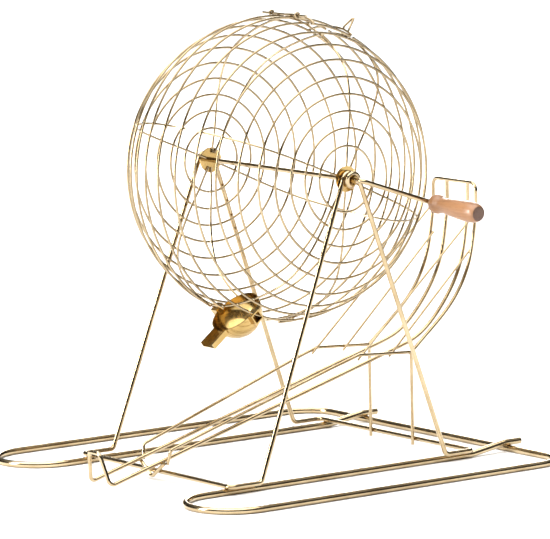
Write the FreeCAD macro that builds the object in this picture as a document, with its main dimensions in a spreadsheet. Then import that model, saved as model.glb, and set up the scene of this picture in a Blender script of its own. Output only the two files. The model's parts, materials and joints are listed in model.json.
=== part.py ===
import FreeCAD, Part
import math
import os
import Sketcher

# Hand-cranked bingo cage in bent and spot-welded brass wire.
# Frame: X along the axle (+X is the crank side), +Y towards the rear where the chute climbs,
# +Z up, floor at Z = 0, origin on the floor under the middle of the axle.

V = FreeCAD.Vector
doc = FreeCAD.newDocument("bingo_cage")

# ---------------------------------------------------------------- driving dimensions (mm)
DIMENSIONS = [
    ("axle_height", 217.0, "axle above the floor"),
    ("axle_dia", 3.8, "one rod: axle, crank arm and handle spindle"),
    ("axle_end", 101.0, "far end of the axle from the middle"),
    ("crank_x", 103.7, "plane of the crank arm"),
    ("crank_arm", 66.0, "axle to handle spindle"),
    ("crank_drop", 18.8, "crank arm below horizontal at rest, degrees"),
    ("crank_bend", 3.3, "centre line radius of the crank bends"),
    ("spindle_droop", 3.4, "outer end of the spindle hangs down, degrees"),
    ("spindle_length", 49.3, "spindle past the crank arm, most of it inside the handle"),
    ("running_gap", 0.08, "radial clearance of every running fit"),
    ("handle_start", 2.5, "inner end of the handle from the crank arm"),
    ("handle_length", 52.3, "turned wooden grip"),
    ("base_dia", 5.0, "base frame wire"),
    ("base_outer_x", 156.5, "outer side wires of the base"),
    ("base_inner_x", 88.0, "inner side wires of the base"),
    ("base_rear_y", 144.0, "rear bar of the base"),
    ("base_tip_y", -167.2, "front tips of the base"),
    ("base_end_y", 154.0, "free ends of the inner wires past the rear bar"),
    ("base_corner", 26.0, "bend of the rear corners"),
    ("leg_dia", 3.6, "leg and cross bar wire"),
    ("leg_foot_x", 94.0, "feet of the legs, outside the base's inner wires"),
    ("leg_front_y", -88.5, "foot bend of the front legs"),
    ("leg_rear_y", 79.2, "foot bend of the rear legs"),
    ("leg_bend", 4.0, "bends of the leg wire"),
    ("cross_front_y", -115.5, "front cross bar"),
    ("cross_rear_y", 104.4, "rear cross bar"),
    ("coil_start_x", 86.95, "inner end of the bearing coil"),
    ("coil_radius", 4.6, "centre line of the bearing coil"),
    ("coil_gap", 0.25, "radial clearance of the hub's sleeve in the coil"),
    ("coil_pitch", 4.1, "pitch of the bearing coil"),
    ("ring_dia", 1.8, "cage ring wire"),
    ("rib_dia", 1.7, "cage rib wire, welded inside the rings"),
    ("rib_bite", 0.12, "depth of a spot weld between two wires"),
    ("door_front_deg", 83.0, "rib in front of the door, from +Y upwards"),
    ("door_rear_deg", 60.0, "rib behind the door"),
    ("cup_front_deg", -121.0, "rib in front of the cup"),
    ("cup_rear_deg", -93.5, "rib behind the cup"),
    ("rib_front_deg", 158.0, "front rib"),
    ("rib_rear_deg", -25.0, "rear rib"),
    ("hub_radius", 9.5, "disc of the brass hub"),
    ("hub_x", 83.9, "inner face of the hub's disc"),
    ("hub_wall", 0.9, "sheet of the hub's disc"),
    ("hub_sleeve_end", 95.0, "outer end of the sleeve that turns in the coil"),
    ("cup_radius", 20.0, "outside of the cup's bowl"),
    ("cup_wall", 0.8, "sheet of the cup"),
    ("cup_y", -40.7, "middle of the cup's rim"),
    ("cup_z", 115.4, "middle of the cup's rim"),
    ("cup_tilt", 38.0, "cup's mouth leans forwards, degrees"),
    ("spout_width", 15.0, "spout of the cup"),
    ("spout_depth", 4.3, "spout of the cup"),
    ("spout_reach", 34.0, "spout's end from the middle of the cup"),
    ("ear_width", 8.0, "clips that hold the cup on two rings"),
    ("ear_reach", 25.6, "outside of the clips"),
    ("rail_dia", 3.0, "ball rails and ball stop"),
    ("rail_x", 12.5, "ball rails from the middle"),
    ("side_dia", 2.8, "side wire of the chute"),
    ("side_x", 26.0, "side wire of the chute from the middle"),
    ("guard_dia", 2.5, "posts and guard wires"),
    ("guard_x", 25.85, "posts from the middle"),
    ("brace_dia", 1.7, "straight wires across the chute's bend"),
    ("post_y", 101.45, "posts in front of the rear cross bar"),
    ("cradle_dia", 2.8, "bracket on the front cross bar"),
    ("pin_dia", 1.8, "door hinge pin"),
    ("door_dia", 1.8, "door wires"),
    ("door_half_width", 26.5, "door bars from the middle"),
    ("rib_coil_dia", 0.9, "fine wire wound on the rib in front of the door"),
]

# Ring stations of one half of the cage: distance from the middle, radius.
RINGS = [
    (84.0, 24.0), (84.0, 36.8), (83.5, 49.2), (81.5, 61.4), (77.5, 73.5),
    (69.0, 85.3), (55.5, 95.3), (40.0, 103.1), (24.0, 108.9), (8.0, 112.4),
]

sheet = doc.addObject("Spreadsheet::Sheet", "dims")
row = 1
for alias, value, note in DIMENSIONS:
    sheet.set("A%d" % row, note)
    sheet.set("B%d" % row, str(value))
    sheet.setAlias("B%d" % row, alias)
    row += 1
for number, (station, radius) in enumerate(RINGS, 1):
    for kind, value in (("station", station), ("radius", radius)):
        sheet.set("A%d" % row, "ring %d of each half, %s" % (number, kind))
        sheet.set("B%d" % row, str(value))
        sheet.setAlias("B%d" % row, "ring_%s_%02d" % (kind, number))
        row += 1
doc.recompute()


def dim(alias):
    return float(sheet.get(alias))


axle_z = dim("axle_height")
nodes = []


def add_node(obj, label):
    obj.Label = label
    nodes.append(obj)
    return obj


def around(x, radius, degrees):
    """Point at a distance from the axle; degrees from +Y upwards."""
    a = math.radians(degrees)
    return V(x, radius * math.cos(a), axle_z + radius * math.sin(a))


def axle_rotation(degrees):
    """Local Z along the axle, local X pointing out at the given angle."""
    a = math.radians(degrees)
    out = V(0, math.cos(a), math.sin(a))
    along = V(0, -math.sin(a), math.cos(a))
    return FreeCAD.Rotation(out, along, V(1, 0, 0))


# ---------------------------------------------------------------- bent wire
def bent_path(points, bend):
    """Straight runs through the points, each corner rounded to the bend radius."""
    edges = []
    start = points[0]
    for before, corner, after in zip(points, points[1:], points[2:]):
        back = (before - corner).normalize()
        ahead = (after - corner).normalize()
        half = back.getAngle(ahead) / 2
        first = corner + back * (bend / math.tan(half))
        last = corner + ahead * (bend / math.tan(half))
        middle = corner + (back + ahead).normalize() * (bend / math.sin(half) - bend)
        edges.append(Part.LineSegment(start, first).toShape())
        edges.append(Part.Arc(first, middle, last).toShape())
        start = last
    edges.append(Part.LineSegment(start, points[-1]).toShape())
    return edges


def smooth_path(points, start_direction=None, end_direction=None):
    """One smooth curve through the points."""
    curve = Part.BSplineCurve()
    if start_direction is None:
        curve.interpolate(points)
    else:
        curve.interpolate(
            Points=points, InitialTangent=start_direction, FinalTangent=end_direction)
    return [curve.toShape()]


def swept(edges, diameter):
    """Round wire along a path."""
    path = Part.Wire(edges)
    first = edges[0]
    start = first.valueAt(first.FirstParameter)
    tangent = first.tangentAt(first.FirstParameter)
    section = Part.Wire(Part.makeCircle(diameter / 2, start, tangent))
    return path.makePipeShell([section], True, False)


def add_wire(label, shape):
    obj = doc.addObject("Part::Feature", label)
    obj.Shape = shape
    obj.Placement = FreeCAD.Placement()
    return add_node(obj, label)


def mirrored(shape):
    return shape.mirror(V(0, 0, 0), V(1, 0, 0))


# ---------------------------------------------------------------- base frame
def base_frame():
    """One wire: long hairpins at both sides, joined by the rear bar."""
    floor = dim("base_dia") / 2
    outer = dim("base_outer_x")
    inner = dim("base_inner_x")
    rear = dim("base_rear_y")
    turn = (outer - inner) / 2
    shoulder = dim("base_tip_y") + turn
    climb = dim("base_dia") - 0.2
    level = V(inner, rear - 36, floor)
    crest = V(inner, rear - 4, floor + climb)
    end = V(inner, dim("base_end_y"), floor + climb)
    half = bent_path([end, crest, level, V(inner, shoulder, floor)], 12.0)
    tip = V((outer + inner) / 2, dim("base_tip_y"), floor)
    half.append(Part.Arc(V(inner, shoulder, floor), tip, V(outer, shoulder, floor)).toShape())
    run = [V(outer, shoulder, floor), V(outer, rear, floor), V(0, rear, floor)]
    half += bent_path(run, dim("base_corner"))
    right = swept(half, dim("base_dia"))
    return right.fuse(mirrored(right)).removeSplitter()


add_wire("base_frame", base_frame())


# ---------------------------------------------------------------- legs with bearing coils
def leg_wire(front_inside):
    """Half front bar, front leg, bearing coil, rear leg and half rear bar of one side.

    The coil is one turn and the way over the top; it winds outwards from the front leg
    if that one is inside, and otherwise inwards. Its pitch eases off where the legs leave it.
    """
    wire = dim("leg_dia")
    foot_x = dim("leg_foot_x")
    foot_z = dim("base_dia") + wire / 2 - 0.1
    coil = dim("coil_radius")
    front_foot = V(foot_x, dim("leg_front_y"), foot_z)
    rear_foot = V(foot_x, dim("leg_rear_y"), foot_z)

    def leaving_angle(foot):
        """Angle on the coil where a straight leg from the foot runs off it."""
        rise = axle_z - foot.z
        reach = math.hypot(foot.y, rise)
        lean = math.atan2(rise, abs(foot.y))
        return math.degrees(math.acos(coil / reach) - lean)

    start_deg = 180 - leaving_angle(front_foot)
    end_deg = leaving_angle(rear_foot) - 360
    width = dim("coil_pitch") * (start_deg - end_deg) / 360
    steps = 36
    turn_points = []
    for k in range(steps + 1):
        part = k / steps
        eased = part - math.sin(2 * math.pi * part) / (2 * math.pi)
        across = eased if front_inside else 1 - eased
        turn_points.append(around(dim("coil_start_x") + width * across, coil,
                                  start_deg + (end_deg - start_deg) * part))

    middle = -0.02
    front = [
        V(middle, dim("cross_front_y"), foot_z), V(foot_x, dim("cross_front_y"), foot_z),
        front_foot, turn_points[0]]
    rear = [
        turn_points[-1], rear_foot, V(foot_x, dim("cross_rear_y"), foot_z),
        V(middle, dim("cross_rear_y"), foot_z)]
    edges = bent_path(front, dim("leg_bend"))
    edges += smooth_path(turn_points)
    edges += bent_path(rear, dim("leg_bend"))
    return swept(edges, wire)


add_wire("leg_wire_near", leg_wire(True))
add_wire("leg_wire_far", mirrored(leg_wire(False)))


# ---------------------------------------------------------------- chute
RAIL_TOP = 194.5
RAIL_CURVE = [(168.2, 180.0), (166.6, 163.0), (160.5, 134.0), (142.5, 103.6), (121.5, 83.8),
              (101.0, 75.5)]
RAIL_FOOT = (-163.8, 2.35)


def unit(point, target):
    """Direction from one (y, z) pair to another."""
    return V(0, target[0] - point[0], target[1] - point[1]).normalize()


def ball_rail_wire():
    """Both ball rails in one wire, joined at the front by the raised ball stop."""
    x = dim("rail_x")
    slope = unit(RAIL_CURVE[-1], RAIL_FOOT)
    drop = Part.LineSegment(V(x, RAIL_CURVE[0][0], RAIL_TOP), V(x, *RAIL_CURVE[0])).toShape()
    curve = smooth_path([V(x, y, z) for y, z in RAIL_CURVE], V(0, 0, -1), slope)
    stop = [V(x, *RAIL_CURVE[-1]), V(x, *RAIL_FOOT), V(6.5, -168.6, 26.0), V(-6.5, -168.6, 26.0),
            V(-x, *RAIL_FOOT), V(-x, *RAIL_CURVE[-1])]
    near_side = swept([drop] + curve, dim("rail_dia"))
    far_side = mirrored(near_side)
    front = swept(bent_path(stop, 4.0), dim("rail_dia"))
    return near_side.fuse([front, far_side]).removeSplitter()


add_wire("ball_rail_wire", ball_rail_wire())

SIDE_TOP = (165.4, 194.0)
SIDE_CURVE = [(165.4, 180.0), (163.8, 163.0), (157.0, 133.0), (138.5, 104.0), (117.0, 85.2),
              (101.4, 72.5)]


def side_wire():
    """Side wire of the chute: two curved sides and the bar across their top."""
    x = dim("side_x")
    slope = unit(SIDE_CURVE[-2], SIDE_CURVE[-1])
    curve = [V(x, y, z) for y, z in SIDE_CURVE]
    top = [V(x, *SIDE_CURVE[0]), V(x, *SIDE_TOP), V(-x, *SIDE_TOP), V(-x, *SIDE_CURVE[0])]
    near_side = swept(smooth_path(curve, V(0, 0, -1), slope), dim("side_dia"))
    bridge = swept(bent_path(top, 6.0), dim("side_dia"))
    return bridge.fuse([near_side, mirrored(near_side)]).removeSplitter()


add_wire("side_rail_wire", side_wire())


def guard_wire():
    """Post on the rear cross bar that bends forwards into the guard above one rail."""
    x = dim("guard_x")
    tip_x = dim("rail_x") + (dim("rail_dia") + dim("guard_dia")) / 2 - 0.15
    points = [V(x, dim("post_y"), 2.4), V(x, dim("post_y"), 72.6), V(x, 52.0, 75.6),
              V(x - 1.0, 28.0, 68.6), V(tip_x + 2.2, -113.4, 23.4), V(tip_x, -115.3, 12.6)]
    return swept(bent_path(points, 3.0), dim("guard_dia"))


near_guard = guard_wire()
add_wire("guard_wire_near", near_guard)
add_wire("guard_wire_far", mirrored(near_guard))

# Straight braces across the chute's bend: side, number, then (y, z) of the end above the side
# wire and of the end below the guard. The near pair sits a little behind the far pair.
BRACES = [("near", 1, (166.6, 171.6), (53.0, 71.6)), ("near", 2, (162.3, 145.3), (82.0, 71.0)),
          ("far", 1, (166.6, 177.8), (46.0, 71.6)), ("far", 2, (163.5, 152.8), (75.0, 71.0))]
for side, number, upper, lower in BRACES:
    run = V(0, lower[0] - upper[0], lower[1] - upper[1])
    brace = doc.addObject("Part::Cylinder", "chute_brace_%s_%d" % (side, number))
    brace.setExpression("Radius", "dims.brace_dia / 2")
    brace.Height = run.Length
    brace.Placement = FreeCAD.Placement(
        V(0, upper[0], upper[1]), FreeCAD.Rotation(V(0, 0, 1), run))
    sign = "" if side == "near" else "-"
    inset = "dims.side_x - (dims.side_dia + dims.brace_dia) / 2 + dims.rib_bite"
    brace.setExpression("Placement.Base.x", "%s(%s)" % (sign, inset))
    add_node(brace, "chute_brace_%s_%d" % (side, number))


def rail_cradle():
    """V-shaped bracket on the front cross bar; the rails lie on its arms."""
    wire = dim("cradle_dia")
    y = dim("cross_front_y") - (dim("leg_dia") + wire) / 2 + 0.12
    slope = (RAIL_CURVE[-1][1] - RAIL_FOOT[1]) / (RAIL_CURVE[-1][0] - RAIL_FOOT[0])
    rail_z = RAIL_FOOT[1] + (y - RAIL_FOOT[0]) * slope
    lean = math.radians(36)
    below_rail = ((dim("rail_dia") + wire) / 2 - 0.1) / math.cos(lean)
    vertex_z = rail_z - below_rail - dim("rail_x") * math.tan(lean)
    tip_x = 16.2
    tip_z = vertex_z + tip_x * math.tan(lean)
    points = [V(tip_x, y, tip_z), V(0, y, vertex_z), V(-tip_x, y, tip_z)]
    return swept(bent_path(points, 4.0), wire)


add_wire("rail_cradle", rail_cradle())

# ---------------------------------------------------------------- cage rings
TO_AXLE = FreeCAD.Rotation(V(0, 1, 0), 90)


def ring(label, number, sign, start=None, end=None):
    """Whole ring, or the arc from start to end in degrees from +Y upwards."""
    torus = doc.addObject("Part::Torus", label)
    torus.Placement = FreeCAD.Placement(V(), axle_rotation(start or 0))
    torus.setExpression("Radius1", "dims.ring_radius_%02d" % number)
    torus.setExpression("Radius2", "dims.ring_dia / 2")
    torus.setExpression("Placement.Base.x", "%d * dims.ring_station_%02d" % (sign, number))
    torus.setExpression("Placement.Base.z", "dims.axle_height")
    if start is not None:
        torus.Angle3 = (end - start) % 360
    return add_node(torus, label)


door_front = dim("door_front_deg")
door_rear = dim("door_rear_deg")
cup_front = dim("cup_front_deg")
cup_rear = dim("cup_rear_deg")
for side, sign in (("near", 1), ("far", -1)):
    for number in range(1, 9):
        ring("ring_%s_%02d" % (side, number), number, sign)
    ring("ring_%s_09" % side, 9, sign, door_front - 0.3, door_rear + 0.3)
    ring("ring_%s_10_front" % side, 10, sign, door_front - 0.3, cup_front + 0.3)
    ring("ring_%s_10_rear" % side, 10, sign, cup_rear - 0.3, door_rear + 0.3)


# ---------------------------------------------------------------- cage ribs
def rib_profile():
    """Centre line of a rib in (station, radius), welded to the inside of every ring."""
    depth = (dim("ring_dia") + dim("rib_dia")) / 2 - dim("rib_bite")
    near_half = [(station, radius) for station, radius in RINGS]
    stations = near_half + [(-station, radius) for station, radius in reversed(near_half)]
    hub_rib_x = dim("hub_x") - dim("rib_dia") / 2 + dim("rib_bite")
    profile = [(hub_rib_x, 5.5), (hub_rib_x - 0.02, 13.0)]
    for k, (station, radius) in enumerate(stations):
        before = stations[max(k - 1, 0)]
        after = stations[min(k + 1, len(stations) - 1)]
        run = math.hypot(after[0] - before[0], after[1] - before[1])
        inward = ((before[1] - after[1]) / run, -(before[0] - after[0]) / run)
        if inward[0] * station + inward[1] * radius > 0:
            inward = (-inward[0], -inward[1])
        profile.append((station + depth * inward[0], radius + depth * inward[1]))
    profile += [(-hub_rib_x + 0.02, 13.0), (-hub_rib_x, 5.5)]
    return profile


RIB_PROFILE = rib_profile()
RIBS = [("rib_front", "rib_front_deg"), ("rib_rear", "rib_rear_deg"),
        ("rib_door_front", "door_front_deg"), ("rib_door_rear", "door_rear_deg"),
        ("rib_cup_front", "cup_front_deg"), ("rib_cup_rear", "cup_rear_deg")]
rib_lines = {}
for label, angle in RIBS:
    line = [around(station, radius, dim(angle)) for station, radius in RIB_PROFILE]
    rib_lines[label] = smooth_path(line)
    add_wire(label, swept(rib_lines[label], dim("rib_dia")))


def rib_coil(edge, first_x, last_x, turns):
    """Fine wire wound tightly round one rib between two rings."""
    low, high = edge.ParameterRange
    samples = [low + (high - low) * k / 2000 for k in range(2001)]
    begin = min(samples, key=lambda p: abs(edge.valueAt(p).x - first_x))
    finish = min(samples, key=lambda p: abs(edge.valueAt(p).x - last_x))
    radius = (dim("rib_dia") + dim("rib_coil_dia")) / 2 - 0.03
    points = []
    for k in range(turns * 10 + 1):
        p = begin + (finish - begin) * k / (turns * 10)
        tangent = edge.tangentAt(p)
        side = tangent.cross(V(0, 0, 1)).normalize()
        up = side.cross(tangent)
        a = 2 * math.pi * k / 10
        points.append(edge.valueAt(p) + side * (radius * math.cos(a)) + up * (radius * math.sin(a)))
    return swept(smooth_path(points), dim("rib_coil_dia"))


add_wire("rib_coil", rib_coil(rib_lines["rib_door_front"][0], 42.6, 52.6, 9))


# ---------------------------------------------------------------- sketches
def new_body(label):
    body = doc.addObject("PartDesign::Body", label)
    return add_node(body, label)


def origin_plane(body, role):
    for feature in body.Origin.OriginFeatures:
        if feature.Role == role:
            return feature


def new_sketch(body, name, role):
    sketch = body.newObject("Sketcher::SketchObject", name)
    sketch.AttachmentSupport = [(origin_plane(body, role), "")]
    sketch.MapMode = "FlatFace"
    return sketch


def outline(sketch, corners):
    """Closed outline of straight sides; every corner is an expression pair."""
    values = [tuple(float(sheet.evalExpression(e)) for e in pair) for pair in corners]
    count = len(corners)
    for k in range(count):
        a = V(values[k][0], values[k][1], 0)
        b = V(values[(k + 1) % count][0], values[(k + 1) % count][1], 0)
        sketch.addGeometry(Part.LineSegment(a, b), False)
    for k in range(count):
        sketch.addConstraint(Sketcher.Constraint("Coincident", k, 2, (k + 1) % count, 1))
    for k, (ex, ey) in enumerate(corners):
        for kind, value, expression in (("DistanceX", values[k][0], ex),
                                        ("DistanceY", values[k][1], ey)):
            index = sketch.addConstraint(Sketcher.Constraint(kind, -1, 1, k, 1, value))
            sketch.setExpression("Constraints[%d]" % index, expression)


def revolve(body, sketch, name):
    feature = body.newObject("PartDesign::Revolution", name)
    feature.Profile = sketch
    feature.ReferenceAxis = (sketch, ["V_Axis"])
    feature.Angle = 360
    sketch.Visibility = False
    return feature


# ---------------------------------------------------------------- hubs
def hub(label, sign):
    """Disc that the ribs are welded to, with the sleeve that turns in the bearing coil."""
    body = new_body(label)
    sketch = new_sketch(body, label + "_section", "XZ_Plane")
    bore = "dims.axle_dia / 2 - 0.05"
    wall = "dims.hub_wall"
    sleeve = "dims.coil_radius - dims.leg_dia / 2 - dims.coil_gap"
    end = "dims.hub_sleeve_end - dims.hub_x"
    face = "0 * %s" % wall
    outline(sketch, [
        (bore, face), ("dims.hub_radius", face), ("dims.hub_radius", wall),
        (sleeve, wall), (sleeve, end), (bore, end)])
    revolve(body, sketch, label + "_disc")
    body.Placement = FreeCAD.Placement(V(), FreeCAD.Rotation(V(0, 0, 1), V(sign, 0, 0)))
    body.setExpression("Placement.Base.x", "%d * dims.hub_x" % sign)
    body.setExpression("Placement.Base.z", "dims.axle_height")


hub("hub_near", 1)
hub("hub_far", -1)

# ---------------------------------------------------------------- axle and crank
CRANK_END = around(dim("crank_x"), dim("crank_arm"), -dim("crank_drop"))
droop = math.radians(dim("spindle_droop"))
SPINDLE = V(math.cos(droop), 0, -math.sin(droop))
# One rod: axle through the cage, crank arm, and the spindle of the handle.
crank_line = [V(-dim("axle_end"), 0, axle_z), V(dim("crank_x"), 0, axle_z), CRANK_END,
              CRANK_END + SPINDLE * dim("spindle_length")]
add_wire("axle_crank", swept(bent_path(crank_line, dim("crank_bend")), dim("axle_dia")))


# ---------------------------------------------------------------- handle
# Turned outline: (radius, fraction of the length); collar, waist, long swell, rounded end.
GRIP = [(4.6, 0.0), (6.3, 0.02), (7.05, 0.06), (7.05, 0.12), (6.6, 0.16), (6.1, 0.2),
        (6.1, 0.26), (6.5, 0.38), (7.1, 0.54), (7.6, 0.7), (7.75, 0.8), (7.5, 0.88),
        (6.8, 0.95), (5.6, 1.0)]


def handle():
    """Turned wooden grip that spins on the crank's spindle."""
    body = new_body("handle")
    sketch = new_sketch(body, "handle_section", "XZ_Plane")
    length = "dims.handle_length"
    bore = "dims.axle_dia / 2 + dims.running_gap"
    bore_end = "dims.spindle_length + 1 - dims.handle_start"
    outline(sketch, [
        (bore, "1.5 + 0 * %s" % length), (bore + " + 1.1", "0 * %s" % length)] + [
        ("%g mm / 1 mm" % radius, "%g * %s" % (part, length)) for radius, part in GRIP] + [
        ("0 * dims.axle_dia", length), ("0 * dims.axle_dia", bore_end), (bore, bore_end)])
    revolve(body, sketch, "handle_grip")
    body.Placement = FreeCAD.Placement(
        CRANK_END + SPINDLE * dim("handle_start"), FreeCAD.Rotation(V(0, 0, 1), SPINDLE))


handle()


# ---------------------------------------------------------------- ball cup
def ball_cup():
    """Sheet bowl with an open spout at the front and a clip at each side."""
    body = new_body("ball_cup")
    section = new_sketch(body, "bowl_section", "XZ_Plane")
    outer = dim("cup_radius")
    inner = outer - dim("cup_wall")
    quarter = (1.5 * math.pi, 2 * math.pi)
    section.addGeometry(Part.ArcOfCircle(Part.Circle(V(), V(0, 0, 1), outer), *quarter), False)
    section.addGeometry(Part.LineSegment(V(outer, 0, 0), V(inner, 0, 0)), False)
    section.addGeometry(Part.ArcOfCircle(Part.Circle(V(), V(0, 0, 1), inner), *quarter), False)
    section.addGeometry(Part.LineSegment(V(0, -inner, 0), V(0, -outer, 0)), False)
    for join in ((0, 2, 1, 1), (1, 2, 2, 2), (2, 1, 3, 1), (3, 2, 0, 1), (0, 3, -1, 1),
                 (2, 3, -1, 1)):
        section.addConstraint(Sketcher.Constraint("Coincident", *join))
    section.addConstraint(Sketcher.Constraint("PointOnObject", 1, 1, -1))
    section.addConstraint(Sketcher.Constraint("PointOnObject", 1, 2, -1))
    section.addConstraint(Sketcher.Constraint("PointOnObject", 3, 1, -2))
    section.addConstraint(Sketcher.Constraint("PointOnObject", 3, 2, -2))
    for index, expression in ((0, "dims.cup_radius"), (2, "dims.cup_radius - dims.cup_wall")):
        value = float(sheet.evalExpression(expression))
        constraint = section.addConstraint(Sketcher.Constraint("Radius", index, value))
        section.setExpression("Constraints[%d]" % constraint, expression)
    revolve(body, section, "bowl")

    half = "dims.spout_width / 2"
    wall = "dims.cup_wall"
    floor = "-dims.spout_depth"
    notch = new_sketch(body, "spout_notch_section", "XZ_Plane")
    notch.setExpression("AttachmentOffset.Base.z", "dims.cup_radius - 6")
    outline(notch, [
        ("-(%s - %s)" % (half, wall), "1 * %s" % wall), ("%s - %s" % (half, wall), "1 * %s" % wall),
        ("%s - %s" % (half, wall), "%s + %s" % (floor, wall)),
        ("-(%s - %s)" % (half, wall), "%s + %s" % (floor, wall))])
    cut = body.newObject("PartDesign::Pocket", "spout_notch")
    cut.Profile = notch
    cut.Length = 9
    cut.Reversed = True

    spout = new_sketch(body, "spout_section", "XZ_Plane")
    spout.setExpression("AttachmentOffset.Base.z", "dims.cup_radius - 2.2")
    outline(spout, [
        ("-(%s)" % half, "0 * %s" % wall), ("-(%s - %s)" % (half, wall), "0 * %s" % wall),
        ("-(%s - %s)" % (half, wall), "%s + %s" % (floor, wall)),
        ("%s - %s" % (half, wall), "%s + %s" % (floor, wall)),
        ("%s - %s" % (half, wall), "0 * %s" % wall), (half, "0 * %s" % wall),
        (half, floor), ("-(%s)" % half, floor)])
    pad = body.newObject("PartDesign::Pad", "spout")
    pad.Profile = spout
    pad.setExpression("Length", "dims.spout_reach - dims.cup_radius + 2.2")

    for side, sign in (("near", 1), ("far", -1)):
        ear = new_sketch(body, "clip_%s_section" % side, "YZ_Plane")
        ear.setExpression("AttachmentOffset.Base.z", "%d * (dims.cup_radius - 1.4)" % sign)
        wide = "dims.ear_width / 2"
        outline(ear, [("-(%s)" % wide, "-6 - 0 * dims.cup_wall"), (wide, "-6 - 0 * dims.cup_wall"),
                      (wide, "2 + 0 * dims.cup_wall"), ("-(%s)" % wide, "2 + 0 * dims.cup_wall")])
        block = body.newObject("PartDesign::Pad", "clip_%s" % side)
        block.Profile = ear
        block.Reversed = sign < 0
        block.setExpression("Length", "dims.ear_reach - dims.cup_radius + 1.4")
        hollow = new_sketch(body, "clip_%s_hollow_section" % side, "YZ_Plane")
        hollow.setExpression("AttachmentOffset.Base.z", "%d * dims.ear_reach" % sign)
        slim = "dims.ear_width / 2 - dims.cup_wall"
        outline(hollow, [("-(%s)" % slim, "-6 + dims.cup_wall"), (slim, "-6 + dims.cup_wall"),
                         (slim, "2 - dims.cup_wall"), ("-(%s)" % slim, "2 - dims.cup_wall")])
        inside = body.newObject("PartDesign::Pocket", "clip_%s_hollow" % side)
        inside.Profile = hollow
        inside.Reversed = sign < 0
        inside.setExpression("Length", "dims.ear_reach - dims.cup_radius - 0.6")
    body.Placement = FreeCAD.Placement(V(), FreeCAD.Rotation(V(1, 0, 0), dim("cup_tilt")))
    body.setExpression("Placement.Base.y", "dims.cup_y")
    body.setExpression("Placement.Base.z", "dims.cup_z")


ball_cup()

# ---------------------------------------------------------------- door
HINGE_DEG = door_front + 2.2
HINGE_RADIUS = dim("ring_radius_10") + (dim("ring_dia") + dim("pin_dia")) / 2 - dim("rib_bite")
DOOR_BAR_DEG = door_front - 1.6
DOOR_END_DEG = door_rear + 1.8
DOOR_LATCH_DEG = door_rear + 2.6

pin = doc.addObject("Part::Cylinder", "door_hinge_pin")
pin.setExpression("Radius", "dims.pin_dia / 2")
pin.setExpression("Height", "2 * dims.door_half_width")
pin.Placement = FreeCAD.Placement(around(0, HINGE_RADIUS, HINGE_DEG), TO_AXLE)
pin.setExpression("Placement.Base.x", "-dims.door_half_width")
add_node(pin, "door_hinge_pin")

# Door wires carry on the line of the rings they fill in for.
for side, sign in (("near", 1), ("far", -1)):
    for number in (9, 10):
        ring("door_wire_%s_%02d" % (side, number), number, sign, DOOR_END_DEG, DOOR_BAR_DEG + 0.2)


def door_bar(degrees):
    """Bar bent over the door wires from side to side."""
    lift = (dim("ring_dia") + dim("door_dia")) / 2 - dim("rib_bite")
    reach = dim("door_half_width")
    stations = [(-reach, dim("ring_radius_09") - 1.1)]
    for station, radius in ((-24.0, "09"), (-8.0, "10"), (8.0, "10"), (24.0, "09")):
        stations.append((station, dim("ring_radius_" + radius)))
    stations.append((reach, dim("ring_radius_09") - 1.1))
    line = [around(station, radius + lift, degrees) for station, radius in stations]
    return swept(smooth_path(line), dim("door_dia"))


add_wire("door_bar_front", door_bar(DOOR_BAR_DEG))
add_wire("door_bar_latch", door_bar(DOOR_LATCH_DEG))


def hinge_loop(x):
    """Loop round the hinge pin with a tail welded to the door's front bar."""
    wire = 1.6
    loop_radius = dim("pin_dia") / 2 + dim("running_gap") + wire / 2
    centre = around(x, HINGE_RADIUS, HINGE_DEG)
    bar = around(x, dim("ring_radius_10") + 0.3, DOOR_BAR_DEG - 0.25)
    loop = Part.makeTorus(loop_radius, wire / 2, centre, V(1, 0, 0))
    away = (bar - centre).normalize()
    tail_start = centre + away * loop_radius
    tail = Part.makeCylinder(wire / 2, (bar - tail_start).Length, tail_start, away)
    return loop.fuse(tail).removeSplitter()


for side, sign in (("near", 1), ("far", -1)):
    add_wire("door_hinge_loop_%s" % side, hinge_loop(sign * 16.0))


def finger_loop():
    """Open triangle of wire that stands up from the door's latch bar."""
    lift = dim("ring_radius_10") + dim("ring_dia") / 2 + dim("door_dia") * 0.9
    foot = DOOR_LATCH_DEG + 0.3
    points = [around(15.5, lift - 1.8, foot), around(15.5, lift + 0.4, foot),
              around(19.0, lift + 10.0, foot - 1.5), around(22.5, lift - 1.0, foot),
              around(22.5, lift - 4.4, foot)]
    return swept(bent_path(points, 0.9), 1.6)


add_wire("door_finger_loop", finger_loop())

# ---------------------------------------------------------------- check and write
doc.recompute()
for obj in doc.Objects:
    if "Invalid" in obj.State or "Error" in obj.State:
        raise RuntimeError("%s is %s" % (obj.Label, obj.State))
os.makedirs("parts", exist_ok=True)
for obj in nodes:
    if obj.Shape.isNull() or not obj.Shape.isValid():
        raise RuntimeError("%s has a bad shape" % obj.Label)
for obj in nodes:
    obj.Shape.exportStep("parts/%s.step" % obj.Label)
print("wrote %d nodes" % len(nodes))
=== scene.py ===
"""Looks of the bingo cage: polished brass wire, a spun brass cup and a turned beech grip."""

import json
import math
import random

import bmesh
import bpy
from mathutils import Matrix, Vector

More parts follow.
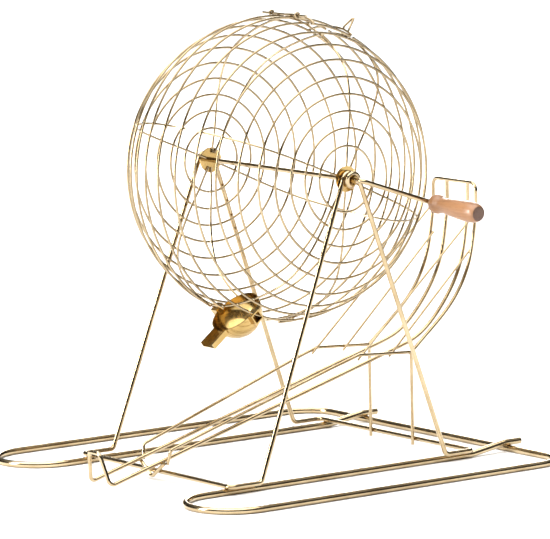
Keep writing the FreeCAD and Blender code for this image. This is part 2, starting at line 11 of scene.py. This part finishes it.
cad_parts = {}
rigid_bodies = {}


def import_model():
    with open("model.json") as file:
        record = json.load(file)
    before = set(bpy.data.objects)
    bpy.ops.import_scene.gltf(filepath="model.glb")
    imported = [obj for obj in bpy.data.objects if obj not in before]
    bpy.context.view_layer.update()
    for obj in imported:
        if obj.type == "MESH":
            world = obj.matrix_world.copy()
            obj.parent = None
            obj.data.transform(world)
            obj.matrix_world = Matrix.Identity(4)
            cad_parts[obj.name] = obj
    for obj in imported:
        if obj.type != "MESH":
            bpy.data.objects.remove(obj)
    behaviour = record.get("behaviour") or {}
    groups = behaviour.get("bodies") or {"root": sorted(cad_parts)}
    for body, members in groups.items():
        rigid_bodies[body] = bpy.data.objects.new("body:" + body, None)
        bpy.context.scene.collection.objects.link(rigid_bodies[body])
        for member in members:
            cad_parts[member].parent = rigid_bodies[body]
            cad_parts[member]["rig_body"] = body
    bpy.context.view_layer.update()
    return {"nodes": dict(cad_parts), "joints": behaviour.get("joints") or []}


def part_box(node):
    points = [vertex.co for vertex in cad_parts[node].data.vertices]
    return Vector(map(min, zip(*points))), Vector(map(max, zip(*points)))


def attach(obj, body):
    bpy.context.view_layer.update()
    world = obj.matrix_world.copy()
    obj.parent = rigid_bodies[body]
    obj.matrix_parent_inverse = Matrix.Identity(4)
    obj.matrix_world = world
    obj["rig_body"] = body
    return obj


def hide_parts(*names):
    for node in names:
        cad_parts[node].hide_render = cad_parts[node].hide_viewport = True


MM = 0.001
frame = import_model()
random.seed(7)


# ---------------------------------------------------------------- places read from the frame
def middle(node):
    low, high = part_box(node)
    return (low + high) / 2


RING_WIRE = 1.8 * MM
WELD_SIZE = 1.05 * MM
AXLE = middle("ring_near_04")


# ---------------------------------------------------------------- material helpers
class Material:
    """A Principled material whose nodes are added by name."""

    def __init__(self, name):
        self.material = bpy.data.materials.new(name)
        self.material.use_nodes = True
        self.tree = self.material.node_tree
        self.shader = self.tree.nodes["Principled BSDF"]

    def add(self, kind, **values):
        node = self.tree.nodes.new(kind)
        for key, value in values.items():
            if key in node.inputs:
                node.inputs[key].default_value = value
            else:
                setattr(node, key, value)
        return node

    def link(self, source, target):
        self.tree.links.new(source, target)

    def place(self, scale):
        """Object coordinates stretched along each axis."""
        where = self.add("ShaderNodeTexCoord")
        mapping = self.add("ShaderNodeMapping")
        mapping.inputs["Scale"].default_value = scale
        self.link(where.outputs["Object"], mapping.inputs["Vector"])
        return mapping.outputs["Vector"]

    def noise(self, where, scale, detail=3.0, roughness=0.55):
        node = self.add("ShaderNodeTexNoise", Scale=scale, Detail=detail, Roughness=roughness)
        self.link(where, node.inputs["Vector"])
        return node.outputs["Fac"]

    def ramp(self, value, stops):
        node = self.add("ShaderNodeValToRGB")
        ends = node.color_ramp.elements
        while len(ends) < len(stops):
            ends.new(0.5)
        for element, (position, color) in zip(ends, stops):
            element.position = position
            element.color = (*color, 1.0)
        self.link(value, node.inputs["Fac"])
        return node.outputs["Color"]

    def span(self, value, low, high):
        """Noise turned into a value between low and high."""
        node = self.add("ShaderNodeMapRange")
        node.inputs["From Min"].default_value = 0.3
        node.inputs["From Max"].default_value = 0.7
        node.inputs["To Min"].default_value = low
        node.inputs["To Max"].default_value = high
        self.link(value, node.inputs["Value"])
        return node.outputs["Result"]

    def blend(self, factor, first, second, mode="MIX"):
        node = self.add("ShaderNodeMix", data_type="RGBA", blend_type=mode)
        if isinstance(factor, float):
            node.inputs[0].default_value = factor
        else:
            self.link(factor, node.inputs[0])
        self.link(first, node.inputs[6])
        self.link(second, node.inputs[7])
        return node.outputs[2]

    def bump(self, height, strength, distance):
        node = self.add("ShaderNodeBump", Strength=strength, Distance=distance)
        self.link(height, node.inputs["Height"])
        self.link(node.outputs["Normal"], self.shader.inputs["Normal"])

    def set(self, **values):
        for key, value in values.items():
            self.shader.inputs[key.replace("_", " ")].default_value = value


def brass(name, light, deep, tarnish, shine, coat=0.25, grain=(1, 1, 1)):
    """Lacquered brass: uneven gold, brown tarnish in patches, fine drawing marks."""
    m = Material(name)
    where = m.place((1, 1, 1))
    patches = m.noise(where, 38.0, 4.0)
    cloud = m.noise(where, 9.0, 2.0)
    tone = m.ramp(patches, [(0.32, deep), (0.68, light)])
    dull = m.ramp(cloud, [(0.56, (0, 0, 0)), (0.78, (0.55, 0.55, 0.55))])
    brown = m.ramp(patches, [(0.3, tarnish), (0.8, deep)])
    m.link(m.blend(dull, tone, brown), m.shader.inputs["Base Color"])
    marks = m.noise(m.place(grain), 620.0, 3.0, 0.6)
    m.link(m.span(marks, shine[0], shine[1]), m.shader.inputs["Roughness"])
    m.bump(marks, 0.10, 0.00012)
    m.set(Metallic=1.0, Coat_Weight=coat, Coat_Roughness=0.06, Coat_IOR=1.5)
    return m.material


def beech(name, light, deep, fleck, end_grain):
    """Turned beech under clear lacquer: long grain with short dark flecks."""
    m = Material(name)
    if end_grain:
        grain = m.noise(m.place((6, 260, 90)), 1.0, 5.0, 0.6)
        flecks = m.noise(m.place((30, 420, 420)), 1.0, 2.0)
    else:
        grain = m.noise(m.place((22, 260, 260)), 1.0, 5.0, 0.6)
        flecks = m.noise(m.place((190, 1500, 1500)), 1.0, 2.0)
    tone = m.ramp(grain, [(0.3, deep), (0.5, light), (0.72, deep)])
    spots = m.ramp(flecks, [(0.62, (0, 0, 0)), (0.72, (0.5, 0.5, 0.5))])
    dark = m.ramp(grain, [(0.3, fleck), (0.7, fleck)])
    m.link(m.blend(spots, tone, dark), m.shader.inputs["Base Color"])
    m.link(m.span(grain, 0.34, 0.5), m.shader.inputs["Roughness"])
    m.bump(flecks, 0.12, 0.0001)
    m.set(Coat_Weight=0.35, Coat_Roughness=0.18, Coat_IOR=1.45, Subsurface_Weight=0.05)
    m.shader.inputs["Subsurface Radius"].default_value = (0.004, 0.002, 0.001)
    return m.material


def floor_material():
    m = Material("floor_white")
    shade = m.noise(m.place((1, 1, 1)), 3.0, 2.0)
    tone = m.ramp(shade, [(0.2, (0.93, 0.93, 0.93)), (0.8, (0.95, 0.95, 0.948))])
    m.link(tone, m.shader.inputs["Base Color"])
    m.set(Roughness=0.75)
    m.shader.inputs["Specular IOR Level"].default_value = 0.1
    return m.material


GOLD = (0.61, 0.485, 0.30)
DEEP_GOLD = (0.42, 0.305, 0.165)
TARNISH = (0.14, 0.08, 0.035)
FRAME_BRASS = brass("frame_brass", GOLD, DEEP_GOLD, TARNISH, (0.09, 0.20))
CAGE_BRASS = brass("cage_brass", (0.51, 0.40, 0.24), (0.31, 0.23, 0.13), TARNISH, (0.12, 0.25))
ROD_BRASS = brass("rod_brass", (0.56, 0.435, 0.26), (0.40, 0.295, 0.165), TARNISH, (0.08, 0.17),
                  grain=(0.2, 1, 1))
SHEET_BRASS = brass("sheet_brass", (0.64, 0.44, 0.17), (0.40, 0.26, 0.08), (0.18, 0.10, 0.03),
                    (0.10, 0.24))
WELD_BRASS = brass("weld_brass", (0.84, 0.74, 0.52), (0.68, 0.56, 0.36), DEEP_GOLD, (0.22, 0.40))
GRIP_WOOD = beech("grip_beech", (0.34, 0.165, 0.072), (0.26, 0.12, 0.05), (0.14, 0.06, 0.024),
                  False)
GRIP_END = beech("grip_end_grain", (0.13, 0.06, 0.032), (0.09, 0.042, 0.022), (0.05, 0.022, 0.012),
                 True)


# ---------------------------------------------------------------- mesh helpers
def new_piece(name, mesh, body, materials, smooth=True):
    piece = bpy.data.objects.new(name, mesh)
    bpy.context.scene.collection.objects.link(piece)
    for material in materials:
        mesh.materials.append(material)
    if smooth:
        for polygon in mesh.polygons:
            polygon.use_smooth = True
    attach(piece, body)
    return piece


def lathe(profile, origin, axis, segments=96):
    """Mesh turned from (along, radius) points about an axis through the origin."""
    bm = bmesh.new()
    turn = Vector((0, 0, 1)).rotation_difference(axis).to_matrix()
    rows = []
    for along, radius in profile:
        row = []
        for k in range(segments):
            a = 2 * math.pi * k / segments
            local = Vector((radius * math.cos(a), radius * math.sin(a), along))
            row.append(bm.verts.new(origin + turn @ local))
        rows.append(row)
    for lower, upper in zip(rows, rows[1:]):
        for k in range(segments):
            n = (k + 1) % segments
            bm.faces.new((lower[k], lower[n], upper[n], upper[k]))
    bm.faces.new(list(reversed(rows[0])))
    bm.faces.new(rows[-1])
    bmesh.ops.recalc_face_normals(bm, faces=bm.faces)
    return bm


def finish_mesh(bm, name):
    mesh = bpy.data.meshes.new(name)
    bm.to_mesh(mesh)
    bm.free()
    return mesh


def blobs(name, places, body, material):
    """Small rounded weld beads, all in one mesh; each place is (centre, normal, size)."""
    bm = bmesh.new()
    for centre, normal, size in places:
        made = bmesh.ops.create_icosphere(bm, subdivisions=2, radius=1.0)
        turn = Vector((0, 0, 1)).rotation_difference(normal).to_matrix().to_4x4()
        wide = size * random.uniform(0.9, 1.12)
        squash = Matrix.Diagonal((wide, size * random.uniform(0.9, 1.1), size * 0.72, 1.0))
        move = Matrix.Translation(centre) @ turn @ squash
        bmesh.ops.transform(bm, matrix=move, verts=made["verts"])
        for vert in made["verts"]:
            vert.co += Vector([random.uniform(-0.04, 0.04) * size for _ in range(3)])
    return new_piece(name, finish_mesh(bm, name), body, [material])


# ---------------------------------------------------------------- CAD wires
for node, obj in frame["nodes"].items():
    body = obj["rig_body"]
    if node.startswith("hub_") or node == "ball_cup":
        material = SHEET_BRASS
    elif node == "axle_crank":
        material = ROD_BRASS
    elif body == "stand":
        material = FRAME_BRASS
    else:
        material = CAGE_BRASS
    obj.data.materials.clear()
    obj.data.materials.append(material)
    for polygon in obj.data.polygons:
        polygon.use_smooth = True


# ---------------------------------------------------------------- ring and rib crossings
def ring_size(node):
    """(station, radius) of a ring from its box; every ring reaches its full radius in Y."""
    low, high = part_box(node)
    reach = max(-low.y, high.y)
    return (low.x + high.x) / 2, reach - RING_WIRE / 2


def rib_angle(node):
    """Angle of a rib's plane about the axle."""
    low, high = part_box(node)
    y = low.y if abs(low.y) > abs(high.y) else high.y
    z = low.z if AXLE.z - low.z > high.z - AXLE.z else high.z
    return math.atan2(z - AXLE.z, y)


RING_NODES = sorted(n for n in frame["nodes"] if n.startswith("ring_"))
RIB_NODES = sorted(n for n in frame["nodes"] if n.startswith("rib_") and n != "rib_coil")


DOOR_REAR, DOOR_FRONT = 61, 82
CUP_FRONT, CUP_REAR = 240, 266


def ring_reaches(node, angle):
    """Whether the ring's wire is there at this angle, in degrees from +Y upwards."""
    degrees = math.degrees(angle) % 360
    if node.endswith("_09"):
        return not DOOR_REAR < degrees < DOOR_FRONT
    if node.endswith("_front"):
        return DOOR_FRONT < degrees < CUP_FRONT
    if node.endswith("_rear"):
        return degrees < DOOR_REAR or degrees > CUP_REAR
    return True


def crossing_welds():
    places = []
    stations = sorted({ring_size(n) for n in RING_NODES})
    for rib in RIB_NODES:
        angle = rib_angle(rib)
        for node in RING_NODES:
            if not ring_reaches(node, angle):
                continue
            x, radius = ring_size(node)
            k = stations.index((x, radius))
            before = stations[max(k - 1, 0)]
            after = stations[min(k + 1, len(stations) - 1)]
            along = Vector((after[0] - before[0], after[1] - before[1])).normalized()
            inward = Vector((along.y, -along.x))
            if inward.dot(Vector((x, radius))) > 0:
                inward = -inward
            spot = Vector((x, radius)) + inward * (RING_WIRE / 2 - 0.00005)
            out = Vector((0, math.cos(angle), math.sin(angle)))
            centre = Vector((spot.x, 0, AXLE.z)) + out * spot.y
            normal = Vector((inward.x, 0, 0)) + out * inward.y
            places.append((centre, normal, WELD_SIZE))
    return places


blobs("cage_welds", crossing_welds(), "cage", WELD_BRASS)


# ---------------------------------------------------------------- wooden grip
# Turned outline of the grip: (part of the length, part of the largest radius).
GRIP_SHAPE = [
    (0.0, 0.45), (0.0, 0.60), (0.006, 0.72), (0.02, 0.813), (0.04, 0.87), (0.06, 0.905),
    (0.09, 0.918), (0.12, 0.905), (0.14, 0.865), (0.16, 0.82), (0.18, 0.775), (0.20, 0.745),
    (0.23, 0.73), (0.26, 0.735), (0.32, 0.775), (0.38, 0.82), (0.46, 0.875), (0.54, 0.917),
    (0.62, 0.95), (0.70, 0.98), (0.76, 0.994), (0.80, 0.998), (0.84, 0.99), (0.88, 0.965),
    (0.92, 0.915), (0.95, 0.868), (0.975, 0.79), (0.99, 0.735), (0.998, 0.70), (1.0, 0.66),
    (1.0, 0.30), (0.998, 0.04)]
COLLAR_RADIUS = 0.9
END_RADIUS = 0.6


def grip():
    """Turned grip: collar at the crank, waist, long swell and a flat end with a soft edge.

    It lies along the joint it spins on, which droops a little at its outer end.
    """
    spin = next(joint for joint in frame["joints"] if joint["name"] == "handle_spin")
    axis = Vector(spin["axis"])
    low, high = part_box("handle")
    lean = abs(axis.z) / axis.x
    swell = (high.y - low.y) / 2
    pivot = Vector(spin["pos_m"])
    first = pivot + axis * ((low.x - pivot.x + COLLAR_RADIUS * swell * lean) / axis.x)
    last = pivot + axis * ((high.x - pivot.x - END_RADIUS * swell * lean) / axis.x)
    length = (last - first).length
    profile = [(part * length, part_radius * swell) for part, part_radius in GRIP_SHAPE]
    mesh = finish_mesh(lathe(profile, first, axis, 72), "handle_grip")
    piece = new_piece("handle_grip", mesh, "handle", [GRIP_WOOD, GRIP_END])
    for polygon in mesh.polygons:
        outer_end = (polygon.center - first).dot(axis) > 0.97 * length
        if outer_end and polygon.normal.dot(axis) > 0.93:
            polygon.material_index = 1
    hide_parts("handle")


grip()

# ---------------------------------------------------------------- floor, light and camera
bpy.ops.mesh.primitive_plane_add(size=60, location=(0, 0, 0))
floor = bpy.context.object
floor.name = "floor"
floor.data.materials.append(floor_material())


def studio_world():
    """Dim room with a soft glow overhead, so that round wire shows light and dark lines."""
    world = bpy.data.worlds.new("studio")
    bpy.context.scene.world = world
    world.use_nodes = True
    tree = world.node_tree
    background = tree.nodes["Background"]
    where = tree.nodes.new("ShaderNodeTexCoord")
    split = tree.nodes.new("ShaderNodeSeparateXYZ")
    ramp = tree.nodes.new("ShaderNodeValToRGB")
    tree.links.new(where.outputs["Generated"], split.inputs["Vector"])
    tree.links.new(split.outputs["Z"], ramp.inputs["Fac"])
    stops = [(0.0, 0.02), (0.30, 0.03), (0.55, 0.16), (0.80, 0.5), (1.0, 0.6)]
    ends = ramp.color_ramp.elements
    while len(ends) < len(stops):
        ends.new(0.5)
    for element, (position, value) in zip(ends, stops):
        element.position = position
        element.color = (value, value, value * 0.985, 1.0)
    tree.links.new(ramp.outputs["Color"], background.inputs["Color"])
    background.inputs["Strength"].default_value = 1.0


def sun_light(name, tilt, turn, spread, power):
    """Very wide soft sun that keeps the floor white and its shadows faint."""
    data = bpy.data.lights.new(name, "SUN")
    data.energy = power
    data.angle = math.radians(spread)
    light = bpy.data.objects.new(name, data)
    bpy.context.scene.collection.objects.link(light)
    light.rotation_euler = (math.radians(tilt), 0, math.radians(turn))
    return light


def area_light(name, location, target, size, power, color=(1, 1, 1)):
    data = bpy.data.lights.new(name, "AREA")
    data.shape = "RECTANGLE"
    data.size, data.size_y = size
    data.energy = power
    data.color = color
    light = bpy.data.objects.new(name, data)
    bpy.context.scene.collection.objects.link(light)
    light.location = location
    aim = Vector(target) - Vector(location)
    light.rotation_euler = aim.to_track_quat("-Z", "Y").to_euler()
    return light


studio_world()
CENTRE = (0.0, 0.0, 0.16)
sun_light("ceiling", 12, 25, 80, 4.2)
area_light("softbox_left", (-0.9, -2.6, 0.85), CENTRE, (0.7, 1.5), 90)
area_light("softbox_back", (-1.9, 1.6, 1.0), CENTRE, (0.9, 1.0), 22)


def add_camera(azimuth, elevation, roll, distance, target, focal_pixels):
    """Long lens at the photograph's viewing angle."""
    data = bpy.data.cameras.new("camera")
    data.sensor_width = 36.0
    data.lens = focal_pixels / 550 * data.sensor_width
    data.clip_end = 100
    camera = bpy.data.objects.new("camera", data)
    bpy.context.scene.collection.objects.link(camera)
    a, e, r = (math.radians(v) for v in (azimuth, elevation, roll))
    back = Vector((math.sin(a) * math.cos(e), -math.cos(a) * math.cos(e), math.sin(e)))
    right = Vector((math.cos(a), math.sin(a), 0))
    up = back.cross(right)
    rolled_right = right * math.cos(r) + up * math.sin(r)
    rolled_up = up * math.cos(r) - right * math.sin(r)
    turn = Matrix((rolled_right, rolled_up, back)).transposed()
    camera.matrix_world = Matrix.Translation(Vector(target) + back * distance) @ turn.to_4x4()
    bpy.context.scene.camera = camera


add_camera(azimuth=53.93, elevation=8.02, roll=-1.23, distance=3.577,
           target=(-0.0055, 0, 0.1419), focal_pixels=4843)
bpy.context.scene.view_settings.view_transform = "Standard"
